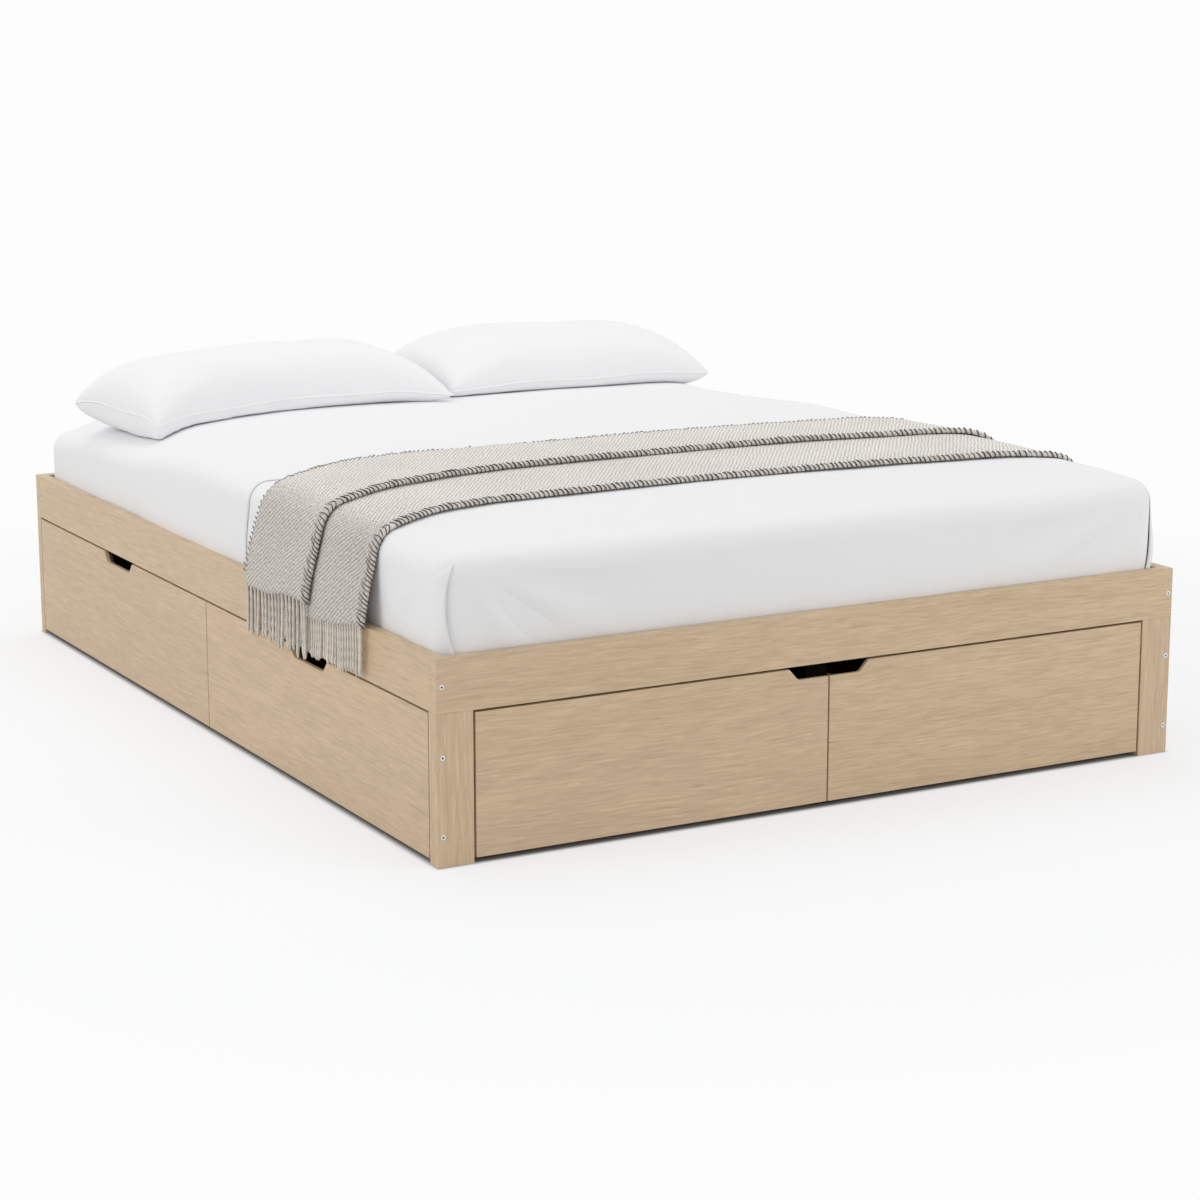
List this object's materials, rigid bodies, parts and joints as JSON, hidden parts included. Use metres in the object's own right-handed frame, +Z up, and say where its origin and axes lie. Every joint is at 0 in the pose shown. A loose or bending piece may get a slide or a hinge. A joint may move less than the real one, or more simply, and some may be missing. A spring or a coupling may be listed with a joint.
{
  "type": "platform storage bed",
  "caption": "Low platform bed in oak-faced board with castor drawers along one side and across the foot, slatted base, mattress, pillows and fringed throw.",
  "frame": {"origin": "on the floor under the middle of the bed", "axes": "+Z up; the foot end faces -Y and the head end +Y; the side with drawers faces -X"},
  "size_m": [1.58, 2.0516, 0.6686],
  "materials": {
    "oak_board": "pale oak decor, satin, fine low-contrast grain",
    "carcass_board": "pale oak decor, plain, satin",
    "bottom_board": "thin pale lacquered fibreboard",
    "pine": "planed raw pine",
    "dark_pine": "planed pine with a matt black stain",
    "black_plastic": "black nylon",
    "zinc_steel": "zinc-plated steel",
    "screw_steel": "nickel-plated steel",
    "grey_rubber": "soft grey rubber",
    "mattress_cover": "white cotton fitted sheet over the mattress",
    "sheet_cotton": "smooth white cotton",
    "pillow_cotton": "smooth white cotton with piped seams",
    "throw_cotton": "beige-grey twill weave, stitched edges",
    "fringe_cotton": "beige-grey loose cotton yarns"
  },
  "bodies": {
    "root": {"foot_rail": "oak_board", "foot_leg_left": "oak_board", "foot_leg_right": "oak_board", "head_panel": "oak_board", "side_rail_left": "oak_board", "side_panel_right": "oak_board", "corner_post_foot_left": "carcass_board", "corner_post_foot_right": "carcass_board", "corner_post_head_left": "carcass_board", "corner_post_head_right": "carcass_board", "divider_post": "carcass_board", "foot_centre_post": "carcass_board", "side_cleat_left": "pine", "side_cleat_right": "pine", "slats": "pine", "centre_leg_foot_end": "pine", "centre_leg_head_end": "pine", "centre_beam": "dark_pine", "centre_leg_glides": "black_plastic", "beam_bracket": "zinc_steel", "corner_screws": "screw_steel", "drawer_buffers": "grey_rubber", "mattress": "mattress_cover", "top_sheet": "sheet_cotton", "pillow_left": "pillow_cotton", "pillow_right": "pillow_cotton", "throw": "throw_cotton", "throw_fringe": "fringe_cotton"},
    "head_side_drawer": {"head_side_drawer_front": "oak_board", "head_side_drawer_left_side": "carcass_board", "head_side_drawer_right_side": "carcass_board", "head_side_drawer_back": "carcass_board", "head_side_drawer_bottom": "bottom_board", "head_side_drawer_castor_forks": "zinc_steel"},
    "head_side_drawer_front_wheels": {"head_side_drawer_front_wheels": "black_plastic"},
    "head_side_drawer_rear_wheels": {"head_side_drawer_rear_wheels": "black_plastic"},
    "foot_side_drawer": {"foot_side_drawer_front": "oak_board", "foot_side_drawer_left_side": "carcass_board", "foot_side_drawer_right_side": "carcass_board", "foot_side_drawer_back": "carcass_board", "foot_side_drawer_bottom": "bottom_board", "foot_side_drawer_castor_forks": "zinc_steel"},
    "foot_side_drawer_front_wheels": {"foot_side_drawer_front_wheels": "black_plastic"},
    "foot_side_drawer_rear_wheels": {"foot_side_drawer_rear_wheels": "black_plastic"},
    "left_foot_drawer": {"left_foot_drawer_front": "oak_board", "left_foot_drawer_left_side": "carcass_board", "left_foot_drawer_right_side": "carcass_board", "left_foot_drawer_back": "carcass_board", "left_foot_drawer_bottom": "bottom_board", "left_foot_drawer_castor_forks": "zinc_steel"},
    "left_foot_drawer_front_wheels": {"left_foot_drawer_front_wheels": "black_plastic"},
    "left_foot_drawer_rear_wheels": {"left_foot_drawer_rear_wheels": "black_plastic"},
    "right_foot_drawer": {"right_foot_drawer_front": "oak_board", "right_foot_drawer_left_side": "carcass_board", "right_foot_drawer_right_side": "carcass_board", "right_foot_drawer_back": "carcass_board", "right_foot_drawer_bottom": "bottom_board", "right_foot_drawer_castor_forks": "zinc_steel"},
    "right_foot_drawer_front_wheels": {"right_foot_drawer_front_wheels": "black_plastic"},
    "right_foot_drawer_rear_wheels": {"right_foot_drawer_rear_wheels": "black_plastic"}
  },
  "joints": [
    {"name": "head_side_drawer_slide", "type": "slide", "parent": "root", "child": "head_side_drawer", "axis": [-1, 0, 0], "range_m": [0, 0.54]},
    {"name": "head_side_drawer_front_wheels_roll", "type": "hinge", "parent": "head_side_drawer", "child": "head_side_drawer_front_wheels", "pos_m": [-0.675, 0.4925, 0.025], "axis": [0, -1, 0], "continuous": true},
    {"name": "head_side_drawer_rear_wheels_roll", "type": "hinge", "parent": "head_side_drawer", "child": "head_side_drawer_rear_wheels", "pos_m": [-0.195, 0.4925, 0.025], "axis": [0, -1, 0], "continuous": true},
    {"name": "foot_side_drawer_slide", "type": "slide", "parent": "root", "child": "foot_side_drawer", "axis": [-1, 0, 0], "range_m": [0, 0.54], "deforming": ["throw_fringe"]},
    {"name": "foot_side_drawer_front_wheels_roll", "type": "hinge", "parent": "foot_side_drawer", "child": "foot_side_drawer_front_wheels", "pos_m": [-0.675, -0.28, 0.025], "axis": [0, -1, 0], "continuous": true},
    {"name": "foot_side_drawer_rear_wheels_roll", "type": "hinge", "parent": "foot_side_drawer", "child": "foot_side_drawer_rear_wheels", "pos_m": [-0.195, -0.28, 0.025], "axis": [0, -1, 0], "continuous": true},
    {"name": "left_foot_drawer_slide", "type": "slide", "parent": "root", "child": "left_foot_drawer", "axis": [0, -1, 0], "range_m": [0, 0.37]},
    {"name": "left_foot_drawer_front_wheels_roll", "type": "hinge", "parent": "left_foot_drawer", "child": "left_foot_drawer_front_wheels", "pos_m": [-0.3615, -0.925, 0.025], "axis": [1, 0, 0], "continuous": true},
    {"name": "left_foot_drawer_rear_wheels_roll", "type": "hinge", "parent": "left_foot_drawer", "child": "left_foot_drawer_rear_wheels", "pos_m": [-0.3615, -0.635, 0.025], "axis": [1, 0, 0], "continuous": true},
    {"name": "right_foot_drawer_slide", "type": "slide", "parent": "root", "child": "right_foot_drawer", "axis": [0, -1, 0], "range_m": [0, 0.37]},
    {"name": "right_foot_drawer_front_wheels_roll", "type": "hinge", "parent": "right_foot_drawer", "child": "right_foot_drawer_front_wheels", "pos_m": [0.3615, -0.925, 0.025], "axis": [1, 0, 0], "continuous": true},
    {"name": "right_foot_drawer_rear_wheels_roll", "type": "hinge", "parent": "right_foot_drawer", "child": "right_foot_drawer_rear_wheels", "pos_m": [0.3615, -0.635, 0.025], "axis": [1, 0, 0], "continuous": true}
  ],
  "couplings": [
    {"joint": "head_side_drawer_front_wheels_roll", "follows": "head_side_drawer_slide", "rad_per_m": 40},
    {"joint": "head_side_drawer_rear_wheels_roll", "follows": "head_side_drawer_slide", "rad_per_m": 40},
    {"joint": "foot_side_drawer_front_wheels_roll", "follows": "foot_side_drawer_slide", "rad_per_m": 40},
    {"joint": "foot_side_drawer_rear_wheels_roll", "follows": "foot_side_drawer_slide", "rad_per_m": 40},
    {"joint": "left_foot_drawer_front_wheels_roll", "follows": "left_foot_drawer_slide", "rad_per_m": 40},
    {"joint": "left_foot_drawer_rear_wheels_roll", "follows": "left_foot_drawer_slide", "rad_per_m": 40},
    {"joint": "right_foot_drawer_front_wheels_roll", "follows": "right_foot_drawer_slide", "rad_per_m": 40},
    {"joint": "right_foot_drawer_rear_wheels_roll", "follows": "right_foot_drawer_slide", "rad_per_m": 40}
  ]
}
